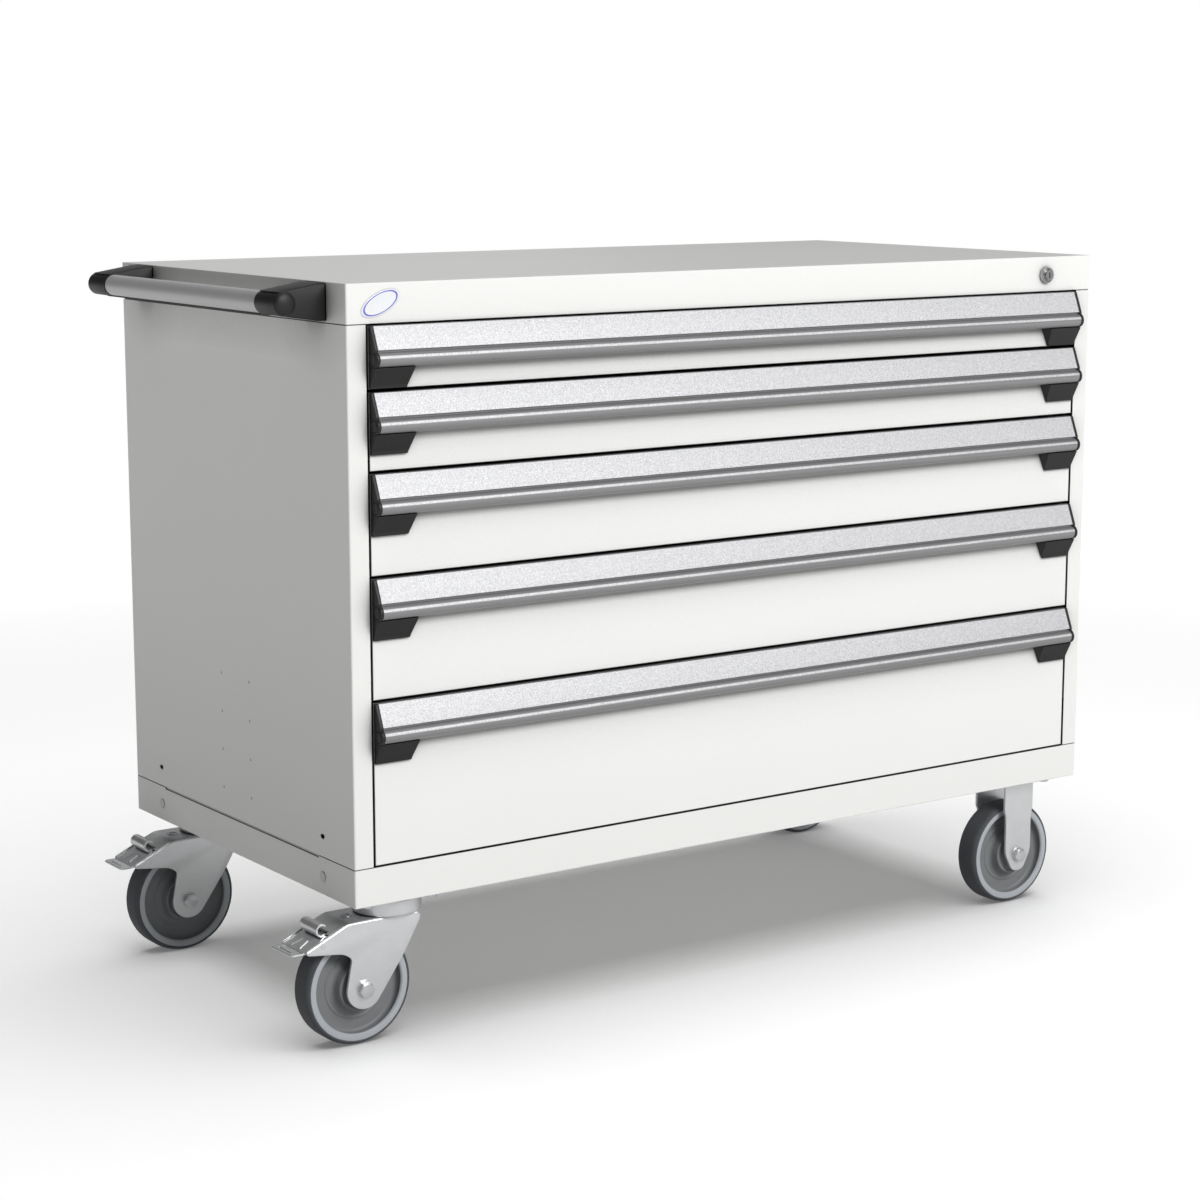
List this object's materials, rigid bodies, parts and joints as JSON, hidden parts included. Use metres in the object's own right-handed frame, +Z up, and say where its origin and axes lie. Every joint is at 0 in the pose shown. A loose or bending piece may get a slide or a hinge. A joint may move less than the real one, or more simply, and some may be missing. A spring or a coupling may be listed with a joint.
{
  "type": "mobile drawer cabinet",
  "caption": "Mobile workshop cabinet with full-width drawers on telescopic slides, extruded handles, a push handle, a central lock and braked casters.",
  "frame": {"origin": "on the floor under the middle of the whole object's box, handle, pedals and drawer handles included", "axes": "+Z up, drawers open towards -Y, push handle and swivel casters at the -X end"},
  "size_m": [1.2912, 0.6309, 0.9525],
  "materials": {
    "housing": "satin warm white powder coat",
    "drawer_front": "satin warm white powder coat",
    "handle_aluminium": "bead-blasted clear anodised extrusion",
    "black_plastic": "fine-textured moulded plastic",
    "push_grey": "matt grey anodised tube",
    "slide_zinc": "zinc-plated rolled steel",
    "lock_metal": "satin chrome",
    "caster_zinc": "bright zinc-plated pressed steel",
    "fastener_zinc": "bright zinc-plated",
    "tyre_rubber": "smooth dark grey rubber",
    "wheel_plastic": "satin moulded grey plastic",
    "plug_plastic": "plain moulded plastic",
    "badge": "plain satin plate with no marking"
  },
  "bodies": {
    "cabinet": {"top_cap": "housing", "left_side_panel": "housing", "right_side_panel": "housing", "back_panel": "housing", "base_frame": "housing", "caster_doublers": "slide_zinc", "base_plugs": "plug_plastic", "slide_posts": "slide_zinc", "cabinet_slides": "slide_zinc", "lock_barrel": "lock_metal", "badge_plate": "badge", "push_brackets": "black_plastic", "push_tube": "push_grey", "push_strip": "black_plastic", "push_screws": "fastener_zinc", "caster_bolts": "fastener_zinc", "swivel_plates": "caster_zinc", "rigid_forks": "caster_zinc", "rigid_axles": "fastener_zinc"},
    "lock_plug": {"lock_plug": "lock_metal"},
    "lock_bar": {"lock_bar": "slide_zinc"},
    "drawer_1": {"drawer_1_box": "drawer_front", "drawer_1_handle": "handle_aluminium", "drawer_1_end_caps": "black_plastic", "drawer_1_slides": "slide_zinc"},
    "drawer_1_middle": {"drawer_1_middle_slides": "slide_zinc"},
    "drawer_2": {"drawer_2_box": "drawer_front", "drawer_2_handle": "handle_aluminium", "drawer_2_end_caps": "black_plastic", "drawer_2_slides": "slide_zinc"},
    "drawer_2_middle": {"drawer_2_middle_slides": "slide_zinc"},
    "drawer_3": {"drawer_3_box": "drawer_front", "drawer_3_handle": "handle_aluminium", "drawer_3_end_caps": "black_plastic", "drawer_3_slides": "slide_zinc"},
    "drawer_3_middle": {"drawer_3_middle_slides": "slide_zinc"},
    "drawer_4": {"drawer_4_box": "drawer_front", "drawer_4_handle": "handle_aluminium", "drawer_4_end_caps": "black_plastic", "drawer_4_slides": "slide_zinc"},
    "drawer_4_middle": {"drawer_4_middle_slides": "slide_zinc"},
    "drawer_5": {"drawer_5_box": "drawer_front", "drawer_5_handle": "handle_aluminium", "drawer_5_end_caps": "black_plastic", "drawer_5_slides": "slide_zinc"},
    "drawer_5_middle": {"drawer_5_middle_slides": "slide_zinc"},
    "front_swivel": {"front_swivel_fork": "caster_zinc", "front_swivel_axle": "fastener_zinc"},
    "front_pedal": {"front_brake_pedal": "caster_zinc"},
    "front_swivel_wheel": {"front_swivel_wheel": "wheel_plastic", "front_swivel_tyre": "tyre_rubber"},
    "front_rigid_wheel": {"front_rigid_wheel": "wheel_plastic", "front_rigid_tyre": "tyre_rubber"},
    "rear_swivel": {"rear_swivel_fork": "caster_zinc", "rear_swivel_axle": "fastener_zinc"},
    "rear_pedal": {"rear_brake_pedal": "caster_zinc"},
    "rear_swivel_wheel": {"rear_swivel_wheel": "wheel_plastic", "rear_swivel_tyre": "tyre_rubber"},
    "rear_rigid_wheel": {"rear_rigid_wheel": "wheel_plastic", "rear_rigid_tyre": "tyre_rubber"}
  },
  "joints": [
    {"name": "lock_turn", "type": "hinge", "parent": "cabinet", "child": "lock_plug", "pos_m": [0.55755, -0.29415, 0.927], "axis": [0, 1, 0], "range_deg": [0, 90]},
    {"name": "lock_bar_drop", "type": "slide", "parent": "cabinet", "child": "lock_bar", "axis": [0, 0, -1], "range_m": [0, 0.01131]},
    {"name": "drawer_1_slide", "type": "slide", "parent": "cabinet", "child": "drawer_1", "axis": [0, -1, 0], "range_m": [0, 0.53]},
    {"name": "drawer_1_middle_slide", "type": "slide", "parent": "cabinet", "child": "drawer_1_middle", "axis": [0, -1, 0], "range_m": [0, 0.265]},
    {"name": "drawer_2_slide", "type": "slide", "parent": "cabinet", "child": "drawer_2", "axis": [0, -1, 0], "range_m": [0, 0.53]},
    {"name": "drawer_2_middle_slide", "type": "slide", "parent": "cabinet", "child": "drawer_2_middle", "axis": [0, -1, 0], "range_m": [0, 0.265]},
    {"name": "drawer_3_slide", "type": "slide", "parent": "cabinet", "child": "drawer_3", "axis": [0, -1, 0], "range_m": [0, 0.53]},
    {"name": "drawer_3_middle_slide", "type": "slide", "parent": "cabinet", "child": "drawer_3_middle", "axis": [0, -1, 0], "range_m": [0, 0.265]},
    {"name": "drawer_4_slide", "type": "slide", "parent": "cabinet", "child": "drawer_4", "axis": [0, -1, 0], "range_m": [0, 0.53]},
    {"name": "drawer_4_middle_slide", "type": "slide", "parent": "cabinet", "child": "drawer_4_middle", "axis": [0, -1, 0], "range_m": [0, 0.265]},
    {"name": "drawer_5_slide", "type": "slide", "parent": "cabinet", "child": "drawer_5", "axis": [0, -1, 0], "range_m": [0, 0.53]},
    {"name": "drawer_5_middle_slide", "type": "slide", "parent": "cabinet", "child": "drawer_5_middle", "axis": [0, -1, 0], "range_m": [0, 0.265]},
    {"name": "front_caster_swivel", "type": "hinge", "parent": "cabinet", "child": "front_swivel", "pos_m": [-0.49405, -0.23135, 0.1865], "axis": [0, 0, 1], "continuous": true},
    {"name": "front_brake_press", "type": "hinge", "parent": "front_swivel", "child": "front_pedal", "pos_m": [-0.60305, -0.23135, 0.14], "axis": [0, -1, 0], "range_deg": [0, 12]},
    {"name": "front_swivel_wheel_spin", "type": "hinge", "parent": "front_swivel", "child": "front_swivel_wheel", "pos_m": [-0.54505, -0.23135, 0.075], "axis": [0, 1, 0], "continuous": true},
    {"name": "front_rigid_wheel_spin", "type": "hinge", "parent": "cabinet", "child": "front_rigid_wheel", "pos_m": [0.56395, -0.23135, 0.075], "axis": [0, 1, 0], "continuous": true},
    {"name": "rear_caster_swivel", "type": "hinge", "parent": "cabinet", "child": "rear_swivel", "pos_m": [-0.49405, 0.25265, 0.1865], "axis": [0, 0, 1], "continuous": true},
    {"name": "rear_brake_press", "type": "hinge", "parent": "rear_swivel", "child": "rear_pedal", "pos_m": [-0.60305, 0.25265, 0.14], "axis": [0, -1, 0], "range_deg": [0, 12]},
    {"name": "rear_swivel_wheel_spin", "type": "hinge", "parent": "rear_swivel", "child": "rear_swivel_wheel", "pos_m": [-0.54505, 0.25265, 0.075], "axis": [0, 1, 0], "continuous": true},
    {"name": "rear_rigid_wheel_spin", "type": "hinge", "parent": "cabinet", "child": "rear_rigid_wheel", "pos_m": [0.56395, 0.25265, 0.075], "axis": [0, 1, 0], "continuous": true}
  ],
  "couplings": [
    {"joint": "lock_bar_drop", "follows": "lock_turn", "m_per_rad": 0.0072026},
    {"joint": "drawer_1_middle_slide", "follows": "drawer_1_slide", "ratio": 0.5},
    {"joint": "drawer_2_middle_slide", "follows": "drawer_2_slide", "ratio": 0.5},
    {"joint": "drawer_3_middle_slide", "follows": "drawer_3_slide", "ratio": 0.5},
    {"joint": "drawer_4_middle_slide", "follows": "drawer_4_slide", "ratio": 0.5},
    {"joint": "drawer_5_middle_slide", "follows": "drawer_5_slide", "ratio": 0.5}
  ]
}
